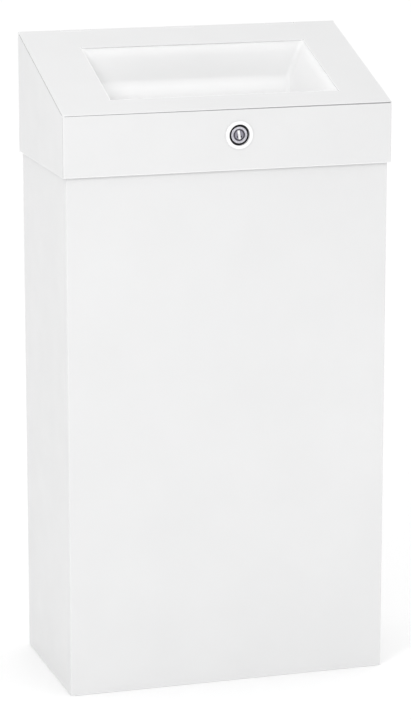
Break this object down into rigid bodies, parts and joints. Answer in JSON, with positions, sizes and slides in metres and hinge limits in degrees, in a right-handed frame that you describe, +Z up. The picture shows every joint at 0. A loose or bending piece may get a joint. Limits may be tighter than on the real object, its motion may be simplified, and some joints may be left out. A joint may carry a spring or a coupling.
{
  "type": "dog waste bin",
  "caption": "Slim rectangular sheet-steel waste bin with a sloping hinged cover, a tapered drop chute in its opening and a cam lock on the front fascia.",
  "frame": {"origin": "middle of the base on the floor, below the middle of the cover's depth", "axes": "+X to the right of someone facing the bin, +Y towards the wall behind it, +Z up"},
  "size_m": [0.34, 0.1818, 0.6543],
  "materials": {
    "powder_coat": "white powder coat, fine orange peel, satin",
    "chute_coat": "white powder coat, satin, slightly brighter",
    "lock_trim": "white enamelled trim cup, semi-gloss",
    "lock_metal": "satin nickel plate",
    "brass": "plain",
    "zinc": "bright zinc plate",
    "pin_steel": "drawn wire",
    "rivet_metal": "plain",
    "rubber": "matt"
  },
  "bodies": {
    "body": {"body_shell": "powder_coat", "back_panel": "powder_coat", "base_panel": "powder_coat", "hinge_leaf": "powder_coat", "hinge_pin": "pin_steel", "hinge_rivets": "rivet_metal", "lock_keeper": "zinc", "keeper_rivets": "rivet_metal", "rim_buffers": "rubber", "bag_frame": "zinc", "bag_frame_clips": "zinc"},
    "lid": {"lid_cover": "powder_coat", "chute": "chute_coat", "lid_stop_left": "powder_coat", "lid_stop_right": "powder_coat", "lock_cup": "lock_trim", "lock_housing": "lock_metal", "lock_washer": "zinc", "lock_nut": "zinc"},
    "lock": {"lock_plug": "lock_metal", "lock_wafers": "brass", "lock_cam": "zinc", "lock_cam_washer": "zinc", "lock_cam_screw": "zinc"}
  },
  "joints": [
    {"name": "lid_hinge", "type": "hinge", "parent": "body", "child": "lid", "pos_m": [0, 0.0875, 0.65182], "axis": [-1, 0, 0], "range_deg": [0, 105]},
    {"name": "lock_turn", "type": "hinge", "parent": "lid", "child": "lock", "pos_m": [0.0095, -0.09, 0.566], "axis": [0, 1, 0], "range_deg": [0, 90]}
  ]
}
